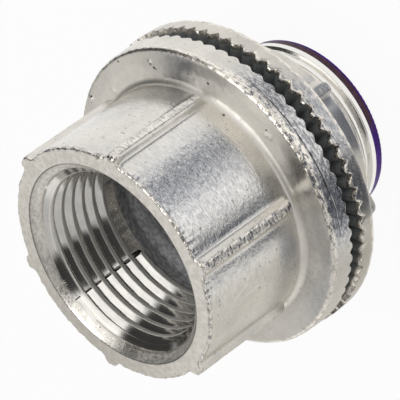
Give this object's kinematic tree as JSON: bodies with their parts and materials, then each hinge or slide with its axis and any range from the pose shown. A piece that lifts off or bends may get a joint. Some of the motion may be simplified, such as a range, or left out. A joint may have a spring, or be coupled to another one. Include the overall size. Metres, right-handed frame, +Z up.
{
  "type": "conduit hub",
  "caption": "Ribbed, internally threaded conduit hub with a flange, a threaded nipple with a plastic throat, a seal and a toothed locknut that clamps it to a box wall.",
  "frame": {"origin": "on the hub's axis, at the face of the plastic lip that the hub stands on", "axes": "+Z up the hub's axis, from the plastic lip to the conduit end; +X through the middle of one barrel rib"},
  "size_m": [0.0442, 0.0442, 0.0387],
  "materials": {
    "hub_casting": "light grey as-cast zinc alloy, satin with glossy, rippled patches",
    "nut_casting": "light grey as-cast zinc alloy, satin",
    "throat_plastic": "moulded violet thermoplastic",
    "seal_rubber": "matt black rubber"
  },
  "bodies": {
    "hub": {"hub_body": "hub_casting", "throat_bushing": "throat_plastic", "sealing_ring": "seal_rubber"},
    "nut": {"locknut": "nut_casting"}
  },
  "joints": [
    {"name": "locknut_travel", "type": "slide", "parent": "hub", "child": "nut", "axis": [0, 0, 1], "range_m": [-0.0051, 0.0013]}
  ]
}
